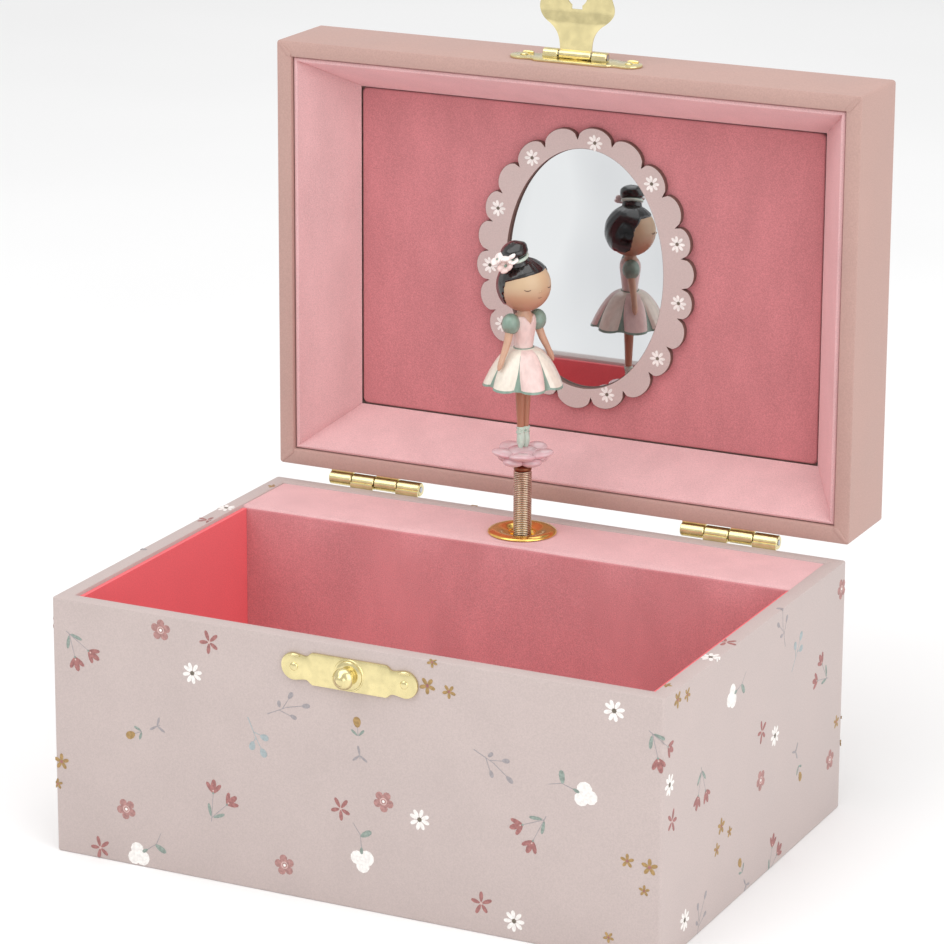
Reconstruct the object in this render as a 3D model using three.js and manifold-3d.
// A ballerina jewellery box: a paper-wrapped board case with a hinged lid, a brass hasp, a mirror in the lid,
// a wind-up musical movement behind the rear partition, and a doll that turns on a coil spring.
// Millimetres. X runs along the front, Y towards the hinges, Z up.
// The origin is the middle of the case's underside.
// The lid stands open at a right angle; closing it turns it through 90 degrees towards -Y.
import * as THREE from "three";
import { mergeVertices } from "three/addons/utils/BufferGeometryUtils.js";
import Module from "manifold-3d";

const wasm = await Module();
wasm.setup();

// ---- Driving dimensions ---------------------------------------------------------------------------------

const CASE = { width: 170, depth: 120, height: 69, wall: 4.4, floor: 3 };
const LID = { height: 24.8, closedGap: 0.3 };
const HINGE = { behind: 2.4, above: 1.3, barrel: 1.9, leaf: 0.7, bore: 0.88, pin: 0.8 };
const HINGE_SPAN = { left: -55.2, right: 51, length: 28.1, knuckles: 4, gap: 0.25, leafHeight: 9 };
const LINING = 1.2;
const LEDGE = { front: 32, top: 68.8, board: 2 };
const STEM = { x: -2, y: 44.8 };
const CLASP = { x: 0.8, width: 38, height: 8.5, thick: 0.8, belowRim: 7.2, aboveRim: 8.5 };
const HASP = { standoff: 1.9, barrel: 1.35, sheet: 0.7, length: 27, reach: 16 };
const MIRROR = { x: 0.2, rise: 1.4, width: 46.7, height: 66.8 };
const MIRROR_RING = { width: 65.2, height: 79, thick: 1.8, lobes: 22 };
const DOLL = { plinth: 86.8, feet: 92.7, hem: 109.9, waist: 120, head: 137.4, bun: 145.4, turn: 63 };
const GEAR = { module: 2 / 3, cylinderTeeth: 24, stemTeeth: 18, pinionTeeth: 6, wheelTeeth: 18 };

// ---- Places worked out from them ------------------------------------------------------------------------

const sideX = CASE.width / 2;
const frontY = -CASE.depth / 2;
const backY = CASE.depth / 2;
const innerX = sideX - CASE.wall;
const innerFrontY = frontY + CASE.wall;
const innerBackY = backY - CASE.wall;

const hingeY = backY + HINGE.behind;
const hingeZ = CASE.height + HINGE.above;
const lidRimY = hingeY - HINGE.above + LID.closedGap;
const lidTopY = lidRimY + LID.height;
const lidLowZ = hingeZ + HINGE.behind;
const lidHighZ = lidLowZ + CASE.depth;
const lidMidZ = (lidLowZ + lidHighZ) / 2;
const lidPanelY = lidTopY - CASE.wall;

// ---- Materials ------------------------------------------------------------------------------------------

function finish(color, roughness, metalness = 0) {
  return new THREE.MeshStandardMaterial({ color, roughness, metalness });
}

const printedPaper = finish(0xcdbebb, 0.7);
const rosePaper = finish(0xc8a096, 0.7);
const coralCard = finish(0xd7555a, 0.8);
const velour = finish(0xdf8f97, 0.95);
const paleBrass = finish(0xf5e8be, 0.25, 1);
const richBrass = finish(0xd9a93a, 0.25, 1);
const steel = finish(0xb9bcc0, 0.3, 1);
const darkSteel = finish(0x7a6a60, 0.35, 1);
const castZinc = finish(0xa6a8aa, 0.5, 1);
const whitePlastic = finish(0xf0eeea, 0.4);
const mirrorGlass = finish(0xe6e8ea, 0.02, 1);
const skin = finish(0xc89a72, 0.5);
const hairBlack = finish(0x17130f, 0.25);
const dressPink = finish(0xf3e4df, 0.5);
const pinkResin = finish(0xf2b9c6, 0.2);

// ---- Geometry helpers -----------------------------------------------------------------------------------

function box([x0, x1], [y0, y1], [z0, z1]) {
  const block = new THREE.BoxGeometry(x1 - x0, y1 - y0, z1 - z0);
  return block.translate((x0 + x1) / 2, (y0 + y1) / 2, (z0 + z1) / 2);
}

function solidOf(geometry) {
  const bare = geometry.index ? geometry.toNonIndexed() : geometry.clone();
  bare.deleteAttribute("normal");
  bare.deleteAttribute("uv");
  const merged = mergeVertices(bare, 1e-4);
  const triVerts = new Uint32Array(merged.index.array);
  const vertProperties = merged.attributes.position.array;
  return new wasm.Manifold(new wasm.Mesh({ numProp: 3, vertProperties, triVerts }));
}

function geometryOf(solid) {
  const { numProp, vertProperties, triVerts } = solid.getMesh();
  const geometry = new THREE.BufferGeometry();
  geometry.setAttribute("position", new THREE.BufferAttribute(vertProperties, numProp));
  geometry.setIndex(new THREE.BufferAttribute(triVerts, 1));
  geometry.computeVertexNormals();
  return geometry;
}

function join(...geometries) {
  return geometryOf(geometries.map(solidOf).reduce((whole, next) => whole.add(next)));
}

function cut(geometry, ...cutters) {
  return geometryOf(cutters.map(solidOf).reduce((whole, next) => whole.subtract(next), solidOf(geometry)));
}

// Turns a geometry made along +Z so that it lies along the named axis.
function along(axis, geometry) {
  if (axis === "x") geometry.rotateY(Math.PI / 2);
  if (axis === "y") geometry.rotateX(-Math.PI / 2);
  return geometry;
}

// A round bar from low to high along an axis; at holds its other two coordinates, in X, Y, Z order.
function rod(axis, radius, [low, high], at, segments = 16, radiusHigh = radius) {
  const bar = new THREE.CylinderGeometry(radiusHigh, radius, high - low, segments).rotateX(Math.PI / 2);
  const middle = (low + high) / 2;
  const [a, b] = at;
  const place = { x: [middle, a, b], y: [a, middle, b], z: [a, b, middle] }[axis];
  return along(axis, bar).translate(...place);
}

// A flat outline given in X and Z (or X and Y) and thickened along the third axis.
function plateXZ(shape, [y0, y1], curveSegments = 8) {
  const plate = new THREE.ExtrudeGeometry(shape, { depth: y1 - y0, bevelEnabled: false, curveSegments });
  return plate.rotateX(Math.PI / 2).translate(0, y1, 0);
}

function plateXY(shape, [z0, z1], curveSegments = 8) {
  const plate = new THREE.ExtrudeGeometry(shape, { depth: z1 - z0, bevelEnabled: false, curveSegments });
  return plate.translate(0, 0, z0);
}

// A turned piece about a vertical axis from [radius, height] pairs that run upwards on the outside.
function turned(profile, segments = 24) {
  const points = profile.map(([radius, height]) => new THREE.Vector2(radius, height));
  return new THREE.LatheGeometry(points, segments).rotateX(Math.PI / 2);
}

function polygon(points) {
  return new THREE.Shape(points.map(([a, b]) => new THREE.Vector2(a, b)));
}

// A spur gear outline: each tooth is narrower than the space beside it, so the train runs with backlash.
function gearOutline(teeth, phase = 0) {
  const pitch = (GEAR.module * teeth) / 2;
  const tip = pitch + 0.35 * GEAR.module;
  const root = pitch - 0.5 * GEAR.module;
  const step = (2 * Math.PI) / teeth;
  const points = [];
  for (let i = 0; i < teeth; i += 1) {
    const middle = (i + phase) * step;
    const corners = [[root, -0.27], [tip, -0.14], [tip, 0.14], [root, 0.27]];
    for (const [radius, part] of corners) {
      const angle = middle + part * step;
      points.push([radius * Math.cos(angle), radius * Math.sin(angle)]);
    }
  }
  return polygon(points);
}

const group = new THREE.Group();

function add(name, material, geometry) {
  const mesh = new THREE.Mesh(geometry, material);
  mesh.name = name;
  group.add(mesh);
}

// ---- Case boards, lining, rear compartment --------------------------------------------------------------

const cylinderX = STEM.x - (GEAR.module * (GEAR.cylinderTeeth + GEAR.stemTeeth)) / 2;
const WINDING = { x: cylinderX, z: 20 };
const NAIL = { x: 15.3, shank: 0.55, hole: 0.62, head: 1.05, depth: 3.2 };
const studZ = CASE.height - CLASP.belowRim;

function nailHoles(axis, [low, high], level) {
  return [-NAIL.x, NAIL.x].map((x) => rod(axis, NAIL.hole, [low, high], [CLASP.x + x, level], 10));
}

const STUD = { rivet: 1.2, neck: 1.6, ball: 2.75, reach: 5.2 };
const caseHigh = [0, CASE.height];
const frontBoard = box([-sideX, sideX], [frontY, innerFrontY], caseHigh);
const frontHoles = nailHoles("y", [frontY - 1, frontY + NAIL.depth + 0.3], studZ);
const rivetHole = rod("y", STUD.rivet + 0.05, [frontY - 1, frontY + NAIL.depth + 0.3], [CLASP.x, studZ], 12);
const ARBOR_HOLE = 3.2;
const arborHole = rod("y", ARBOR_HOLE, [innerBackY - 1, backY + 1], [WINDING.x, WINDING.z], 20);

add("base_bottom_board", rosePaper, box([-innerX, innerX], [innerFrontY, innerBackY], [0, CASE.floor]));
add("base_front_board", printedPaper, cut(frontBoard, ...frontHoles, rivetHole));
add("base_back_board", printedPaper, cut(box([-sideX, sideX], [innerBackY, backY], caseHigh), arborHole));
add("base_left_board", printedPaper, box([-sideX, -innerX], [innerFrontY, innerBackY], caseHigh));
add("base_right_board", printedPaper, box([innerX, sideX], [innerFrontY, innerBackY], caseHigh));

const liningX = innerX - LINING;
const liningFrontY = innerFrontY + LINING;
const liningTop = CASE.height - 1;
const liningOutline = polygon([
  [-innerX, LEDGE.front],
  [-innerX, innerFrontY],
  [innerX, innerFrontY],
  [innerX, LEDGE.front],
  [liningX, LEDGE.front],
  [liningX, liningFrontY],
  [-liningX, liningFrontY],
  [-liningX, LEDGE.front],
]);
add("base_wall_lining", coralCard, plateXY(liningOutline, [CASE.floor, liningTop]));

const padTop = CASE.floor + 1.6;
add("base_floor_pad", velour, box([-liningX, liningX], [liningFrontY, LEDGE.front], [CASE.floor, padTop]));

const ledgeLow = LEDGE.top - LEDGE.board;
const partitionY = [LEDGE.front, LEDGE.front + LEDGE.board];
add("compartment_front", velour, box([-innerX, innerX], partitionY, [CASE.floor, ledgeLow]));

const ledgeBoard = box([-innerX, innerX], [LEDGE.front, innerBackY], [ledgeLow, LEDGE.top]);
const stemHole = rod("z", 4, [ledgeLow - 1, LEDGE.top + 1], [STEM.x, STEM.y], 24);
add("compartment_cover", velour, cut(ledgeBoard, stemHole));

// A dished brass eyelet that lines the stem hole.
const EYELET = { bore: 3.2, tube: 3.85, rim: 9.3, rimHigh: 0.7, dish: 0.4 };
const eyeletProfile = [
  [EYELET.bore, ledgeLow + 0.2],
  [EYELET.tube, ledgeLow + 0.2],
  [EYELET.tube, LEDGE.top],
  [EYELET.rim, LEDGE.top],
  [EYELET.rim, LEDGE.top + EYELET.dish],
  [EYELET.rim - 0.6, LEDGE.top + EYELET.rimHigh],
  [EYELET.rim - 1.5, LEDGE.top + EYELET.rimHigh],
  [EYELET.rim - 3.4, LEDGE.top + EYELET.dish],
  [EYELET.bore, LEDGE.top + EYELET.dish],
  [EYELET.bore, ledgeLow + 0.2],
];
add("stem_eyelet", richBrass, turned(eyeletProfile, 20).translate(STEM.x, STEM.y, 0));

// ---- Lid boards, tray and mirror ------------------------------------------------------------------------

const lidSideHigh = [lidLowZ + CASE.wall, lidHighZ - CASE.wall];
const lidWallY = [lidRimY, lidPanelY];
const lidFrontBoard = box([-sideX, sideX], lidWallY, [lidHighZ - CASE.wall, lidHighZ]);
const haspY = lidRimY + CLASP.aboveRim;
const lidHoles = nailHoles("z", [lidHighZ - NAIL.depth - 0.3, lidHighZ + 1], haspY);

add("lid_top_board", rosePaper, box([-sideX, sideX], [lidPanelY, lidTopY], [lidLowZ, lidHighZ]));
add("lid_front_board", rosePaper, cut(lidFrontBoard, ...lidHoles));
add("lid_back_board", rosePaper, box([-sideX, sideX], lidWallY, [lidLowZ, lidLowZ + CASE.wall]));
add("lid_left_board", rosePaper, box([-sideX, -innerX], lidWallY, lidSideHigh));
add("lid_right_board", rosePaper, box([innerX, sideX], lidWallY, lidSideHigh));

const TRAY = { inset: 0.8, thick: 1.2, padThick: 1.9, slopeX: 12, slopeZ: 10.2 };
const trayFaceY = lidPanelY - TRAY.padThick;
const trayX = innerX - TRAY.slopeX;
const trayZ = CASE.depth / 2 - CASE.wall - TRAY.slopeZ;
const panelPadZ = [lidMidZ - trayZ, lidMidZ + trayZ];
add("lid_panel_pad", velour, box([-trayX, trayX], [trayFaceY, lidPanelY], panelPadZ));

// Four sloping velour walls in one ring, wide at the rim and narrow where they meet the panel pad.
function trayWalls() {
  const loop = (y, inX, inZ) => {
    const x = innerX - inX;
    const z = CASE.depth / 2 - CASE.wall - inZ;
    return [[-x, y, lidMidZ - z], [x, y, lidMidZ - z], [x, y, lidMidZ + z], [-x, y, lidMidZ + z]];
  };
  const rimY = lidRimY + TRAY.inset;
  const loops = [
    loop(rimY, 0.1, 0.1),
    loop(trayFaceY, TRAY.slopeX - TRAY.thick, TRAY.slopeZ - TRAY.thick),
    loop(trayFaceY, TRAY.slopeX, TRAY.slopeZ),
    loop(rimY, 0.1 + TRAY.thick, 0.1 + TRAY.thick),
  ];
  const index = [];
  loops.forEach((_, ring) => {
    const next = (ring + 1) % loops.length;
    for (let corner = 0; corner < 4; corner += 1) {
      const beside = (corner + 1) % 4;
      const [a, b] = [ring * 4 + corner, ring * 4 + beside];
      const [c, d] = [next * 4 + beside, next * 4 + corner];
      index.push(a, c, b, a, d, c);
    }
  });
  const geometry = new THREE.BufferGeometry();
  geometry.setAttribute("position", new THREE.Float32BufferAttribute(loops.flat(2), 3));
  geometry.setIndex(index);
  return geometry;
}
add("lid_tray_walls", velour, trayWalls());

// Points at equal steps along an ellipse, with a half-round lobe over each step of the lobed edge.
function ellipsePoints(halfWidth, halfHeight, count) {
  const curve = new THREE.EllipseCurve(0, 0, halfWidth, halfHeight);
  return curve.getSpacedPoints(count).slice(0, count);
}

function lobedOutline(halfWidth, halfHeight, lobes, rise, pointsPerLobe = 5) {
  const count = lobes * pointsPerLobe;
  const points = ellipsePoints(halfWidth - rise, halfHeight - rise, count).map((point, i) => {
    const across = (2 * (i % pointsPerLobe)) / pointsPerLobe - 1;
    const normal = new THREE.Vector2(point.x / halfWidth ** 2, point.y / halfHeight ** 2).normalize();
    return point.clone().addScaledVector(normal, rise * Math.sqrt(1 - across ** 2));
  });
  return new THREE.Shape(points);
}

const glassThick = 1;
const ringShape = lobedOutline(MIRROR_RING.width / 2, MIRROR_RING.height / 2, MIRROR_RING.lobes, 3.2);
ringShape.holes.push(new THREE.Path(ellipsePoints(MIRROR.width / 2, MIRROR.height / 2, 36)));
const glassShape = new THREE.Shape(ellipsePoints(MIRROR.width / 2 - 0.1, MIRROR.height / 2 - 0.1, 36));
const ringPlate = plateXZ(ringShape, [trayFaceY - MIRROR_RING.thick, trayFaceY]);
const glassPlate = plateXZ(glassShape, [trayFaceY - glassThick, trayFaceY]);
const mirrorZ = lidMidZ + MIRROR.rise;
add("mirror_frame", rosePaper, ringPlate.translate(MIRROR.x, 0, mirrorZ));
add("mirror_glass", mirrorGlass, glassPlate.translate(MIRROR.x, 0, mirrorZ));

// ---- Case hinges ----------------------------------------------------------------------------------------

// A leaf with its own knuckles. Leaves are drawn for the case and turned over the pin for the lid.
function hingeLeaf(centreX, firstKnuckle) {
  const start = centreX - HINGE_SPAN.length / 2;
  const pitch = HINGE_SPAN.length / HINGE_SPAN.knuckles;
  const leafTop = hingeZ - HINGE.barrel - HINGE_SPAN.gap;
  const leafY = [backY, backY + HINGE.leaf];
  const parts = [box([start, start + HINGE_SPAN.length], leafY, [leafTop - HINGE_SPAN.leafHeight, leafTop])];
  const bores = [];
  for (let i = firstKnuckle; i < HINGE_SPAN.knuckles; i += 2) {
    const span = [start + i * pitch + HINGE_SPAN.gap / 2, start + (i + 1) * pitch - HINGE_SPAN.gap / 2];
    parts.push(box(span, leafY, [leafTop - 1, hingeZ]));
    parts.push(rod("x", HINGE.barrel, span, [hingeY, hingeZ], 16));
    bores.push(rod("x", HINGE.bore, [span[0] - 1, span[1] + 1], [hingeY, hingeZ], 12));
  }
  return cut(join(...parts), ...bores);
}

// The open lid's outer back face lies flat above the hinge line, a quarter turn over from the case's back.
function turnedToLid(geometry) {
  const atOrigin = geometry.translate(0, -hingeY, -hingeZ);
  return atOrigin.rotateX(Math.PI / 2).scale(1, 1, -1).translate(0, hingeY, hingeZ);
}

function flipFaces(geometry) {
  const { array } = geometry.index;
  for (let i = 0; i < array.length; i += 3) {
    [array[i + 1], array[i + 2]] = [array[i + 2], array[i + 1]];
  }
  geometry.computeVertexNormals();
  return geometry;
}

for (const side of ["left", "right"]) {
  const centreX = HINGE_SPAN[side];
  const pinSpan = [centreX - HINGE_SPAN.length / 2, centreX + HINGE_SPAN.length / 2];
  add(`base_hinge_leaf_${side}`, paleBrass, hingeLeaf(centreX, 1));
  add(`lid_hinge_leaf_${side}`, paleBrass, flipFaces(turnedToLid(hingeLeaf(centreX, 0))));
  add(`hinge_pin_${side}`, steel, rod("x", HINGE.pin, pinSpan, [hingeY, hingeZ], 12));
}

// ---- Clasp: plate, stud, hasp and nails -----------------------------------------------------------------

// A stamped plate with round ends, a small step at each shoulder and two nail holes, centred on 0, 0.
function claspOutline() {
  const half = CLASP.height / 2;
  const end = 3.6;
  const endX = CLASP.width / 2 - end;
  const shoulder = 10.6;
  const dip = 3.1;
  const shape = new THREE.Shape();
  shape.moveTo(-shoulder, -half);
  shape.lineTo(shoulder, -half);
  shape.quadraticCurveTo(shoulder + 0.6, -dip, shoulder + 2.2, -dip);
  shape.quadraticCurveTo(endX - 1, -dip, endX, -end);
  shape.absarc(endX, 0, end, -Math.PI / 2, Math.PI / 2, false);
  shape.quadraticCurveTo(endX - 1, dip, shoulder + 2.2, dip);
  shape.quadraticCurveTo(shoulder + 0.6, dip, shoulder, half);
  shape.lineTo(-shoulder, half);
  shape.quadraticCurveTo(-shoulder - 0.6, dip, -shoulder - 2.2, dip);
  shape.quadraticCurveTo(-endX + 1, dip, -endX, end);
  shape.absarc(-endX, 0, end, Math.PI / 2, (3 * Math.PI) / 2, false);
  shape.quadraticCurveTo(-endX + 1, -dip, -shoulder - 2.2, -dip);
  shape.quadraticCurveTo(-shoulder - 0.6, -dip, -shoulder, -half);
  return shape;
}

const plateFaceY = frontY - CLASP.thick;
const BOSS = { radius: 4.2, top: 3.4, height: 0.6 };
const basePlate = plateXZ(claspOutline(), [plateFaceY, frontY], 3).translate(CLASP.x, 0, studZ);
const bossSpan = [plateFaceY - BOSS.height, plateFaceY + 0.2];
const boss = rod("y", BOSS.top, bossSpan, [CLASP.x, studZ], 24, BOSS.radius);
const plateNailHoles = nailHoles("y", [plateFaceY - 1, frontY + 1], studZ);
const plateRivetHole = rod("y", STUD.rivet + 0.05, [plateFaceY - 2, frontY + 1], [CLASP.x, studZ], 12);
add("clasp_base_plate", paleBrass, cut(join(basePlate, boss), ...plateNailHoles, plateRivetHole));

const studProfile = [
  [0, -NAIL.depth],
  [STUD.rivet, -NAIL.depth],
  [STUD.rivet, CLASP.thick + BOSS.height],
  [STUD.neck + 0.6, CLASP.thick + BOSS.height],
  [STUD.neck, CLASP.thick + BOSS.height + 0.9],
  [STUD.ball, 3.3],
  [STUD.ball, 4.3],
  [1.9, STUD.reach],
  [0, STUD.reach + 0.7],
];
const stud = turned(studProfile, 14).rotateX(Math.PI / 2);
add("clasp_stud", paleBrass, stud.translate(CLASP.x, frontY, studZ));

function nail(length, head) {
  const shank = [[0, -length], [NAIL.shank, -length], [NAIL.shank, 0]];
  const profile = [...shank, [head, 0], [head * 0.7, 0.4], [0, 0.5]];
  return turned(profile, 10);
}

const shankLength = NAIL.depth + CLASP.thick;
for (const [side, x] of [["left", -NAIL.x], ["right", NAIL.x]]) {
  const frontNail = nail(shankLength, NAIL.head).rotateX(Math.PI / 2);
  add(`clasp_base_nail_${side}`, paleBrass, frontNail.translate(CLASP.x + x, plateFaceY, studZ));
  const lidNail = nail(shankLength, NAIL.head);
  add(`clasp_lid_nail_${side}`, paleBrass, lidNail.translate(CLASP.x + x, haspY, lidHighZ + CLASP.thick));
}

// The lid plate carries two knuckles; a window between them clears the hasp's own barrel.
const haspZ = lidHighZ + HASP.standoff;
const KNUCKLE = { inner: 4.85, outer: 9.25, gap: 0.15 };
const lidPlate = plateXY(claspOutline(), [lidHighZ, lidHighZ + CLASP.thick], 3).translate(CLASP.x, haspY, 0);
const lidKnuckles = [-1, 1].map((side) => {
  const ends = [side * (KNUCKLE.inner + KNUCKLE.gap), side * KNUCKLE.outer].sort((a, b) => a - b);
  return rod("x", HASP.barrel, ends, [haspY, haspZ], 12).translate(CLASP.x, 0, 0);
});
const haspWindow = box(
  [CLASP.x - KNUCKLE.inner - KNUCKLE.gap, CLASP.x + KNUCKLE.inner + KNUCKLE.gap],
  [haspY - 2.2, haspY + 2.2],
  [lidHighZ - 1, lidHighZ + CLASP.thick + 1],
);
const lidPlateNailHoles = nailHoles("z", [lidHighZ - 1, lidHighZ + 2], haspY);
const haspBoreSpan = [CLASP.x - KNUCKLE.outer - 1, CLASP.x + KNUCKLE.outer + 1];
const haspBore = rod("x", HINGE.bore, haspBoreSpan, [haspY, haspZ], 12);
const lidPlateCuts = [haspWindow, ...lidPlateNailHoles, haspBore];
add("clasp_lid_plate", paleBrass, cut(join(lidPlate, ...lidKnuckles), ...lidPlateCuts));
const haspPinSpan = [CLASP.x - KNUCKLE.outer, CLASP.x + KNUCKLE.outer];
add("clasp_hinge_pin", steel, rod("x", HINGE.pin, haspPinSpan, [haspY, haspZ], 12));

// The hasp: a neck that flares into a broad rounded shield, with a keyhole that drops over the stud.
function haspOutline() {
  const neck = KNUCKLE.inner;
  const wide = 11.6;
  const shape = new THREE.Shape();
  shape.moveTo(-neck, 0);
  shape.lineTo(neck, 0);
  shape.bezierCurveTo(neck, 5, neck + 0.6, 7.5, wide - 2.6, 10);
  shape.bezierCurveTo(wide + 0.2, 12, wide + 0.2, 14.5, wide - 1.4, 17.5);
  shape.bezierCurveTo(wide - 3.6, 21.5, 5, HASP.length, 0, HASP.length);
  shape.bezierCurveTo(-5, HASP.length, -wide + 3.6, 21.5, -wide + 1.4, 17.5);
  shape.bezierCurveTo(-wide - 0.2, 14.5, -wide - 0.2, 12, -wide + 2.6, 10);
  shape.bezierCurveTo(-neck - 0.6, 7.5, -neck, 5, -neck, 0);
  return shape;
}

const KEYHOLE = { radius: 3.4, notch: 1.7, notchLow: 12.2 };
const haspSheet = plateXZ(haspOutline(), [-HASP.sheet / 2, HASP.sheet / 2], 8);
const haspBarrel = rod("x", HASP.barrel, [-KNUCKLE.inner, KNUCKLE.inner], [0, 0], 16);
const keyholeCuts = [
  rod("y", KEYHOLE.radius, [-2, 2], [0, HASP.reach], 24),
  box([-KEYHOLE.notch, KEYHOLE.notch], [-2, 2], [KEYHOLE.notchLow, HASP.reach]),
  rod("x", HINGE.bore, [-KNUCKLE.outer, KNUCKLE.outer], [0, 0], 12),
];
const hasp = cut(join(haspSheet, haspBarrel), ...keyholeCuts);
add("hasp", paleBrass, hasp.translate(CLASP.x, haspY, haspZ));

// ---- Musical movement: fixed frame ----------------------------------------------------------------------

const CYLINDER = { x: cylinderX, radius: 6.2 };
const CYLINDER_SPAN = [34, 52];
const GEAR_SPAN = [53, 54.5];
const WHEEL = { x: CYLINDER.x - (GEAR.module * (GEAR.cylinderTeeth + GEAR.pinionTeeth)) / 2, span: [55, 56] };
const BEDPLATE = { left: -48, right: 3, low: 6, high: 60, thick: 1.4, padHigh: 51.2 };
const BEDPLATE_Y = [innerBackY - BEDPLATE.thick, innerBackY];
const STEM_LUG = { half: 2.5, span: [46, 48] };
const SCREW = { shank: 1, hole: 1.1, head: 1.9, rimHigh: 0.7, headHigh: 1.1 };
const MOVEMENT_SCREWS = { xs: [-44, -1], z: 10, length: 1.35 };
const COMB_SCREWS = { x: -41, zs: [38, 48], length: 3.5, holeDepth: 3.2 };
const BARREL_BRIDGE = { left: -33, right: -1, low: 14, high: 29, footHigh: 26, foot: 1.4 };
const CYLINDER_LUG = { half: 3, reach: 1.4, span: [27, 28.6] };
const GEAR_BRIDGE = { half: 2.5, span: [57.2, 58.6], flangeHigh: 59.8, flange: 1.2, leg: [-12, -6] };
const GOVERNOR = { low: 51.6, high: 59, arm: 0.8, half: 2, pivot: 0.5, postY: 52, fly: 1.5, reach: 3.2 };
const RATCHET = { teeth: 12, root: 3.4, tip: 4.4, span: [41, 42.6] };
const KEY = { collar: 3.3, foot: 1.2, top: 10, grip: 9, thick: 0.9 };
const KEY_WING = { reach: 12, half: 6, bow: 7, neckX: 2.6, neckY: 2.4 };
const BARREL = { radius: 12.3, span: [47, 53.2], crown: 0.7, crownTeeth: 36, crownMiddle: 11, arbor: 1.75 };
const combTip = CYLINDER.x - CYLINDER.radius - 1.1;
const COMB = { teeth: 18, pitch: 0.92, tip: combTip, root: -37, back: -45, low: 34.6 };
const ARBOR = 0.7;
const RUNNING = 0.06;

const around = (middle, half) => [middle - half, middle + half];
const past = (span) => [span[0] - 1, span[1] + 1];
const bearingHole = (axis, radius, span, at) => rod(axis, radius + RUNNING, span, at, 16);

// Bedplate with the comb's raised pad, the stem shaft's lower lug and the governor's foot.
const padY = STEM.y + 0.8;
const bedplate = join(
  box([BEDPLATE.left, BEDPLATE.right], BEDPLATE_Y, [BEDPLATE.low, BEDPLATE.high]),
  box([COMB.back, COMB.root - 0.6], [padY, BEDPLATE_Y[0] + 0.2], [COMB.low, BEDPLATE.padHigh]),
  box(around(STEM.x, STEM_LUG.half), [STEM.y - STEM_LUG.half, BEDPLATE_Y[0] + 0.2], STEM_LUG.span),
);
const throughBedplate = [BEDPLATE_Y[0] - 1, innerBackY + 1];
const screwHole = (span, x, z) => rod("y", SCREW.hole, span, [x, z], 12);
const movementScrewHoles = MOVEMENT_SCREWS.xs.map((x) => screwHole(throughBedplate, x, MOVEMENT_SCREWS.z));
const combScrewSpan = [padY - 1, padY + COMB_SCREWS.holeDepth];
const combScrewHoles = COMB_SCREWS.zs.map((z) => screwHole(combScrewSpan, COMB_SCREWS.x, z));
const bedplateArborHole = rod("y", ARBOR_HOLE, throughBedplate, [WINDING.x, WINDING.z], 20);
const stemLugHole = bearingHole("z", ARBOR, past(STEM_LUG.span), [STEM.x, STEM.y]);
const bedplateCuts = [...movementScrewHoles, ...combScrewHoles, bedplateArborHole, stemLugHole];
add("movement_bedplate", castZinc, cut(bedplate, ...bedplateCuts));

// A round-headed screw that points along +Y, with its head's underside at the origin.
function screw(length) {
  const { shank, head, rimHigh, headHigh } = SCREW;
  const headProfile = [[head, 0], [head, rimHigh], [head * 0.6, headHigh], [0, headHigh]];
  const profile = [[0, -length], [shank, -length], [shank, 0], ...headProfile];
  return turned(profile, 12).rotateX(Math.PI / 2);
}

const combY = [STEM.y - 0.1, padY];
COMB_SCREWS.zs.forEach((z, i) => {
  add(`comb_screw_${i + 1}`, steel, screw(COMB_SCREWS.length).translate(COMB_SCREWS.x, combY[0], z));
});
MOVEMENT_SCREWS.xs.forEach((x, i) => {
  const placed = screw(MOVEMENT_SCREWS.length).translate(x, BEDPLATE_Y[0], MOVEMENT_SCREWS.z);
  add(`movement_screw_${i + 1}`, steel, placed);
});

// The steel comb: one tooth for each note, all cut in one plate.
function combOutline() {
  const high = COMB.low + COMB.teeth * COMB.pitch;
  const points = [[COMB.back, COMB.low], [COMB.root, COMB.low]];
  for (let i = 0; i < COMB.teeth; i += 1) {
    const low = COMB.low + i * COMB.pitch;
    points.push([COMB.tip, low], [COMB.tip, low + COMB.pitch * 0.7]);
    if (i < COMB.teeth - 1) {
      points.push([COMB.root, low + COMB.pitch * 0.7], [COMB.root, low + COMB.pitch]);
    }
  }
  points.push([COMB.root, high - COMB.pitch * 0.3], [COMB.root, high], [COMB.back, high]);
  return polygon(points);
}
const combScrewClearance = COMB_SCREWS.zs.map((z) => screwHole(past(combY), COMB_SCREWS.x, z));
add("music_comb", steel, cut(plateXZ(combOutline(), combY), ...combScrewClearance));

// The bridge over the mainspring barrel; its lug holds the foot of the cylinder's arbor.
const bridgeY = [38.6, 40];
const footY = [bridgeY[0], BEDPLATE_Y[0]];
const footZ = [BARREL_BRIDGE.low, BARREL_BRIDGE.footHigh];
const bridge = join(
  box([BARREL_BRIDGE.left, BARREL_BRIDGE.right], bridgeY, [BARREL_BRIDGE.low, BARREL_BRIDGE.high]),
  box([BARREL_BRIDGE.left, BARREL_BRIDGE.left + BARREL_BRIDGE.foot], footY, footZ),
  box([BARREL_BRIDGE.right - BARREL_BRIDGE.foot, BARREL_BRIDGE.right], footY, footZ),
  box(around(CYLINDER.x, CYLINDER_LUG.half), [bridgeY[0], STEM.y + CYLINDER_LUG.reach], CYLINDER_LUG.span),
);
const bridgeBores = [
  bearingHole("y", BARREL.arbor, past(bridgeY), [WINDING.x, WINDING.z]),
  bearingHole("z", ARBOR, past(CYLINDER_LUG.span), [CYLINDER.x, STEM.y]),
];
add("barrel_bridge", castZinc, cut(bridge, ...bridgeBores));

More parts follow.
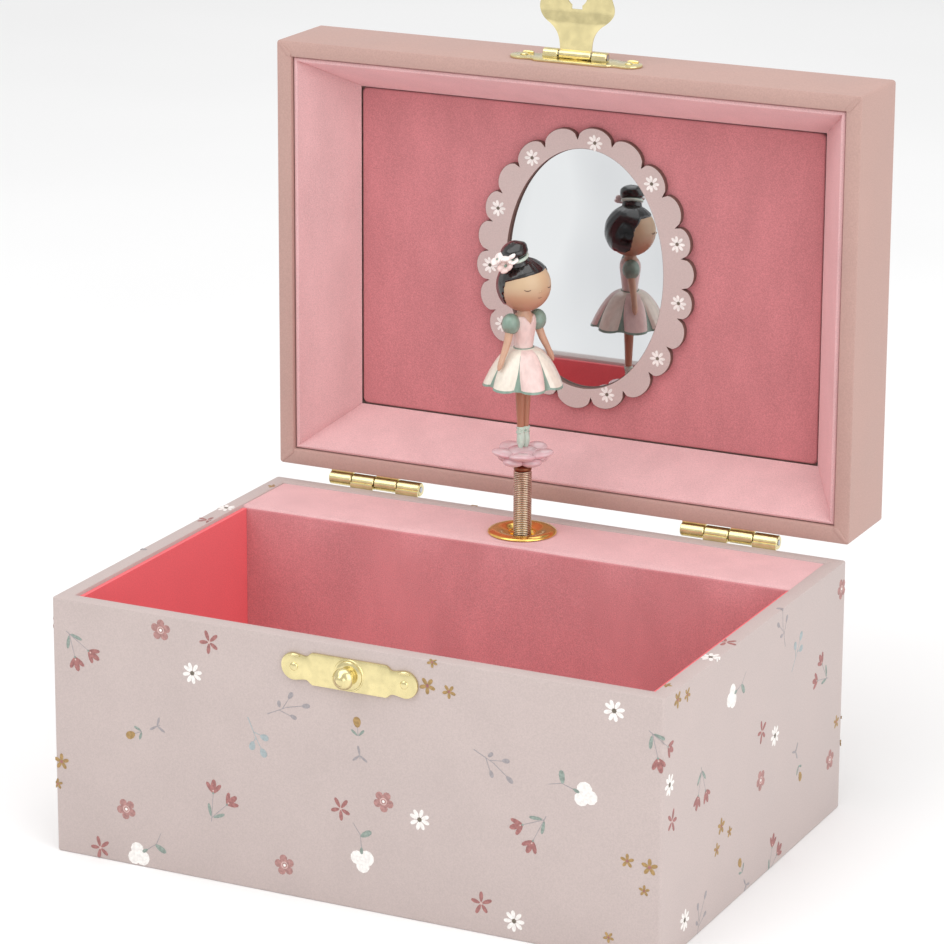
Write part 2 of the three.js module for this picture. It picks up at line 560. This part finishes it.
// One brass bridge holds the tops of the cylinder's arbor and of the stem shaft.
const gearBridgeX = [CYLINDER.x - 2, STEM.x + 3];
const flangeZ = [GEAR_BRIDGE.span[0], GEAR_BRIDGE.flangeHigh];
const gearBridge = join(
  box(gearBridgeX, around(STEM.y, GEAR_BRIDGE.half), GEAR_BRIDGE.span),
  box(gearBridgeX, [BEDPLATE_Y[0] - GEAR_BRIDGE.flange, BEDPLATE_Y[0]], flangeZ),
  box(GEAR_BRIDGE.leg, [STEM.y + 2, BEDPLATE_Y[0]], GEAR_BRIDGE.span),
);
const gearBridgeBores = [CYLINDER.x, STEM.x].map((x) => {
  return bearingHole("z", ARBOR, past(GEAR_BRIDGE.span), [x, STEM.y]);
});
add("gear_bridge", richBrass, cut(gearBridge, ...gearBridgeBores));

// The governor's frame: a post on the bedplate, an arm above and below the wheel, and the fly's two bearings.
const flyX = WHEEL.x - (GEAR.module * GEAR.wheelTeeth) / 2 - 1.6;
const flyZ = (WHEEL.span[0] + WHEEL.span[1]) / 2;
const governorX = [flyX - GOVERNOR.fly, WHEEL.x + GOVERNOR.half];
const armX = around(WHEEL.x, GOVERNOR.half);
const armY = [STEM.y - 1.8, GOVERNOR.postY + 1];
const upperArmZ = [GOVERNOR.high - GOVERNOR.arm, GOVERNOR.high];
const flyBearingZ = [flyZ - GOVERNOR.fly, GOVERNOR.high - 0.4];
const governorFrame = join(
  box(governorX, [GOVERNOR.postY, BEDPLATE_Y[0]], [GOVERNOR.low, GOVERNOR.high]),
  box(armX, armY, [GOVERNOR.low, GOVERNOR.low + GOVERNOR.arm]),
  box(armX, armY, upperArmZ),
  box(governorX, [STEM.y - GOVERNOR.reach, STEM.y - 1.6], upperArmZ),
  box(around(flyX, GOVERNOR.fly), [STEM.y - GOVERNOR.reach, STEM.y - 2], flyBearingZ),
);
const governorBores = [
  bearingHole("z", GOVERNOR.pivot, past([GOVERNOR.low, GOVERNOR.high]), [WHEEL.x, STEM.y]),
  bearingHole("y", GOVERNOR.pivot, [STEM.y - 4, BEDPLATE_Y[0] - 0.8], [flyX, flyZ]),
];
add("governor_frame", castZinc, cut(governorFrame, ...governorBores));

// ---- Musical movement: what turns -----------------------------------------------------------------------

// Winding arbor with its ratchet wheel, and the key outside the back board.
const arborSpan = [bridgeY[0], backY + KEY.grip];
const arbor = rod("y", BARREL.arbor, arborSpan, [WINDING.x, WINDING.z], 16);
const ratchetShape = polygon(
  Array.from({ length: 2 * RATCHET.teeth }, (_, i) => {
    const angle = (Math.floor((i + 1) / 2) * 2 * Math.PI) / RATCHET.teeth;
    const radius = i % 2 ? RATCHET.root : RATCHET.tip;
    return [radius * Math.cos(angle), radius * Math.sin(angle)];
  }),
);
const ratchet = plateXZ(ratchetShape, RATCHET.span).translate(WINDING.x, 0, WINDING.z);
add("winding_arbor", steel, join(arbor, ratchet));

// A butterfly key: a threaded collar and two rounded wings.
function keyOutline() {
  const { reach, half, bow, neckX, neckY } = KEY_WING;
  const shape = new THREE.Shape();
  shape.moveTo(-neckX, -neckY);
  for (const side of [1, -1]) {
    shape.lineTo(side * neckX, -side * neckY);
    shape.bezierCurveTo(side * half, -side * bow, side * reach, -side * half, side * reach, 0);
    shape.bezierCurveTo(side * reach, side * half, side * half, side * bow, side * neckX, side * neckY);
  }
  return shape;
}
const keyCollar = rod("y", KEY.collar, [backY + KEY.foot, backY + KEY.top], [WINDING.x, WINDING.z], 20);
const keyPlate = plateXY(keyOutline(), [-KEY.thick, KEY.thick], 8);
const keyWings = keyPlate.translate(WINDING.x, backY + KEY.top + 1.5, WINDING.z);
const keyBore = rod("y", BARREL.arbor + 0.03, [backY, backY + KEY.grip + 0.05], [WINDING.x, WINDING.z], 16);
add("winding_key", steel, cut(join(keyCollar, keyWings), keyBore));

// The mainspring barrel: a drum open at the back, with crown teeth on its front rim.
const drum = rod("y", BARREL.radius, BARREL.span, [WINDING.x, WINDING.z], 28);
const crownTeeth = Array.from({ length: BARREL.crownTeeth }, (_, i) => {
  const tooth = box([-0.26, 0.26], [BARREL.span[0] - BARREL.crown, BARREL.span[0] + 0.2], [9.9, 12.1]);
  return tooth.rotateY(((i + 0.5) * 2 * Math.PI) / BARREL.crownTeeth).translate(WINDING.x, 0, WINDING.z);
});
const drumHollow = rod("y", 11.2, [BARREL.span[0] + 1, BARREL.span[1] + 1], [WINDING.x, WINDING.z], 28);
const drumBore = bearingHole("y", BARREL.arbor, [BARREL.span[0] - 2, BARREL.span[1]], [WINDING.x, WINDING.z]);
add("spring_barrel", richBrass, cut(join(drum, ...crownTeeth), drumHollow, drumBore));

// The mainspring, a flat strip wound in a spiral inside the barrel.
function spiralStrip(inner, outer, turns, thick) {
  const steps = turns * 12;
  const at = (i, offset) => {
    const angle = (i * Math.PI) / 6;
    const radius = inner + ((outer - inner) * i) / steps + offset;
    return [radius * Math.cos(angle), radius * Math.sin(angle)];
  };
  const outside = Array.from({ length: steps + 1 }, (_, i) => at(i, thick));
  const inside = Array.from({ length: steps + 1 }, (_, i) => at(steps - i, 0));
  return polygon([...outside, ...inside]);
}
const mainspring = plateXZ(spiralStrip(2.3, 10.5, 5, 0.35), [BARREL.span[0] + 1.4, BARREL.span[1] - 0.6]);
add("mainspring", darkSteel, mainspring.translate(WINDING.x, 0, WINDING.z));

// The pinned cylinder on its arbor, with the pinion that the barrel's crown drives.
const PINS = { count: 18, radius: 0.25, height: 0.8 };
const crownPinionRadius = (BARREL.crownMiddle * GEAR.pinionTeeth) / BARREL.crownTeeth;
function crownPinion() {
  const tip = crownPinionRadius + 0.3;
  const root = crownPinionRadius - 0.6;
  const points = [];
  for (let i = 0; i < GEAR.pinionTeeth; i += 1) {
    const middle = Math.PI / 2 + (i * 2 * Math.PI) / GEAR.pinionTeeth;
    for (const [radius, part] of [[root, -0.22], [tip, -0.09], [tip, 0.09], [root, 0.22]]) {
      points.push([radius * Math.cos(middle + part), radius * Math.sin(middle + part)]);
    }
  }
  return polygon(points);
}
const pinionSpan = [29.8, 32.2];
const cylinderArbor = rod("z", ARBOR, [27.2, 58.4], [CYLINDER.x, STEM.y], 16);
const cylinderBody = rod("z", CYLINDER.radius, CYLINDER_SPAN, [CYLINDER.x, STEM.y], 24);
const pinion = plateXY(crownPinion(), pinionSpan).translate(CYLINDER.x, STEM.y, 0);
const pins = Array.from({ length: PINS.count }, (_, i) => {
  const angle = i * 2.4 + 0.5;
  const height = COMB.low + ((i % COMB.teeth) + 0.35) * COMB.pitch;
  const pin = rod("x", PINS.radius, [CYLINDER.radius - 0.3, CYLINDER.radius + PINS.height], [0, 0], 4);
  return pin.rotateZ(angle).translate(CYLINDER.x, STEM.y, height);
});
add("pinned_cylinder", richBrass, join(cylinderArbor, cylinderBody, pinion, ...pins));

function spurGear(teeth, [x, y], span, bore, phase = 0) {
  const blank = plateXY(gearOutline(teeth, phase), span).translate(x, y, 0);
  return bore ? cut(blank, rod("z", bore, [span[0] - 1, span[1] + 1], [x, y], 16)) : blank;
}
add("cylinder_gear", richBrass, spurGear(GEAR.cylinderTeeth, [CYLINDER.x, STEM.y], GEAR_SPAN, ARBOR + 0.03));

// The stem shaft takes the cylinder's turn up to the doll.
const stemShaft = rod("z", ARBOR, [46.2, 58.4], [STEM.x, STEM.y], 16);
const stemGear = spurGear(GEAR.stemTeeth, [STEM.x, STEM.y], GEAR_SPAN, 0, 0.5);
const stemCap = rod("z", 1.9, [59, LEDGE.top + 0.6], [STEM.x, STEM.y], 16);
const stemNeck = rod("z", ARBOR, [58, 60], [STEM.x, STEM.y], 16);
add("stem_shaft", steel, join(stemShaft, stemGear, stemNeck, stemCap));

// The governor: a wheel geared up from the cylinder, and an air brake with two blades.
const wheelArbor = rod("z", 0.5, [51.8, 58.8], [WHEEL.x, STEM.y], 12);
const wheelPinion = spurGear(GEAR.pinionTeeth, [WHEEL.x, STEM.y], GEAR_SPAN, 0, 0.5);
const wheelDisc = spurGear(GEAR.wheelTeeth, [WHEEL.x, STEM.y], WHEEL.span, 0);
const wheelHub = rod("z", 0.9, [GEAR_SPAN[0], WHEEL.span[1]], [WHEEL.x, STEM.y], 12);
add("governor_wheel", richBrass, join(wheelArbor, wheelPinion, wheelDisc, wheelHub));

const flyShaft = rod("y", 0.5, [35, 53.2], [flyX, flyZ], 10);
const flyWorm = rod("y", 1.1, [STEM.y - 1.4, 50], [flyX, flyZ], 10);
const flyBlade = box([flyX - 4, flyX + 4], [34.8, 38.2], [flyZ - 0.4, flyZ + 0.4]);
add("governor_fly", whitePlastic, join(flyShaft, flyWorm, flyBlade));

// ---- Coil spring stem -----------------------------------------------------------------------------------

const COIL = { outer: 2.8, inner: 2.15, low: LEDGE.top + 0.7, high: DOLL.plinth - 0.7, turns: 16 };
function coilProfile() {
  const step = (COIL.high - COIL.low) / COIL.turns;
  const outside = [];
  for (let i = 0; i < COIL.turns; i += 1) {
    const low = COIL.low + i * step;
    outside.push([COIL.outer - 0.2, low], [COIL.outer, low + step / 2]);
  }
  outside.push([COIL.outer - 0.2, COIL.high]);
  return [[COIL.inner, COIL.low], ...outside, [COIL.inner, COIL.high], [COIL.inner, COIL.low]];
}
add("stem_spring", darkSteel, turned(coilProfile(), 10).translate(STEM.x, STEM.y, 0));

// ---- Doll -----------------------------------------------------------------------------------------------

const atStem = (geometry) => geometry.rotateZ((DOLL.turn * Math.PI) / 180).translate(STEM.x, STEM.y, 0);

// A flower of seven petals under the feet, with a plug that holds the top of the spring.
const petalCount = 7;
function petalLayer(radius, span) {
  const points = Array.from({ length: petalCount * 5 }, (_, i) => {
    const angle = (i * 2 * Math.PI) / (petalCount * 5);
    const reach = radius * (0.84 + 0.16 * Math.abs(Math.cos((angle * petalCount) / 2)) ** 0.6);
    return [reach * Math.cos(angle), reach * Math.sin(angle)];
  });
  return plateXY(polygon(points), span);
}
const plinth = join(
  petalLayer(7.4, [DOLL.plinth, DOLL.plinth + 1.6]),
  petalLayer(9.3, [DOLL.plinth + 1.4, DOLL.plinth + 4]),
  petalLayer(7, [DOLL.plinth + 3.8, DOLL.feet]),
  rod("z", 1.9, [COIL.high - 4, DOLL.plinth + 0.2], [0, 0], 16),
);
add("doll_plinth", pinkResin, atStem(plinth));

const bodyCore = turned([
  [0, DOLL.feet],
  [1.8, DOLL.feet],
  [2, DOLL.feet + 3],
  [1.7, DOLL.feet + 5.5],
  [2.3, DOLL.hem - 0.5],
  [2.6, DOLL.waist + 0.2],
  [2.8, DOLL.waist + 0.5],
  [3.5, DOLL.waist + 6.2],
  [3.2, DOLL.waist + 8.2],
  [1.4, DOLL.waist + 9],
  [1.4, DOLL.head - 7.2],
  [0, DOLL.head - 7.2],
], 14);
const SHOULDER = { x: 4.4, z: DOLL.waist + 6.8, sleeve: 2.4, armLength: 11.2, spread: 0.4 };
const arms = [-1, 1].map((side) => {
  const shoulderX = side * SHOULDER.x;
  const sleeve = new THREE.SphereGeometry(SHOULDER.sleeve, 10, 7).translate(shoulderX, 0, SHOULDER.z);
  const arm = rod("z", 0.8, [-SHOULDER.armLength, 0], [0, 0], 8, 1.1);
  arm.rotateY(side * -SHOULDER.spread).translate(shoulderX, 0, SHOULDER.z);
  return join(sleeve, arm);
});
add("doll_body", skin, atStem(join(bodyCore, ...arms)));

// A flared skirt with seven soft pleats, bored for the legs.
function pleatedSkirt() {
  const pleats = 7;
  const around = pleats * 4;
  const waistRadius = 3.3;
  const levels = [[waistRadius, DOLL.waist], [6, DOLL.waist - 1.6], [8, DOLL.waist - 4.8], [10.6, DOLL.hem]];
  const positions = [];
  for (const [radius, height] of levels) {
    for (let i = 0; i < around; i += 1) {
      const angle = (i * 2 * Math.PI) / around;
      const reach = radius + 0.045 * (radius - waistRadius) * Math.cos(angle * pleats);
      positions.push(reach * Math.cos(angle), reach * Math.sin(angle), height);
    }
  }
  const index = [];
  for (let level = 0; level < levels.length - 1; level += 1) {
    for (let i = 0; i < around; i += 1) {
      const beside = (i + 1) % around;
      const [a, b] = [level * around + i, level * around + beside];
      const [c, d] = [b + around, a + around];
      index.push(a, c, b, a, d, c);
    }
  }
  const last = (levels.length - 1) * around;
  for (let i = 1; i < around - 1; i += 1) {
    index.push(0, i, i + 1);
    index.push(last, last + i + 1, last + i);
  }
  const geometry = new THREE.BufferGeometry();
  geometry.setAttribute("position", new THREE.Float32BufferAttribute(positions, 3));
  geometry.setIndex(index);
  return cut(geometry, rod("z", 2.75, [DOLL.hem - 1, DOLL.waist + 1], [0, 0], 20));
}
add("doll_skirt", dressPink, atStem(pleatedSkirt()));

const head = new THREE.SphereGeometry(1, 16, 10).rotateX(Math.PI / 2).scale(7.3, 7.2, 7);
add("doll_head", skin, atStem(head.translate(0, 0, DOLL.head)));

// Hair: a cap over the top and back of the head, with a bun.
const ball = (...radii) => new THREE.SphereGeometry(1, 16, 10).rotateX(Math.PI / 2).scale(...radii);
const cap = ball(8, 7.9, 7.7).translate(0, 0, DOLL.head);
const scalp = ball(7.6, 7.5, 7.3);
const face = box([-12, 12], [-12, 0], [-12, 0]).rotateX(0.55).translate(0, -0.5, DOLL.head + 2.2);
const neckline = box([-12, 12], [-12, 12], [DOLL.head - 12, DOLL.head - 5]);
const bun = new THREE.SphereGeometry(3.1, 12, 8).translate(-2, 1, DOLL.bun);
const hairShell = cut(cap, scalp.translate(0, 0, DOLL.head), face, neckline);
const hairAndBun = join(hairShell, cut(bun, ball(7.7, 7.6, 7.4).translate(0, 0, DOLL.head)));
add("doll_hair", hairBlack, atStem(hairAndBun));

export default group;
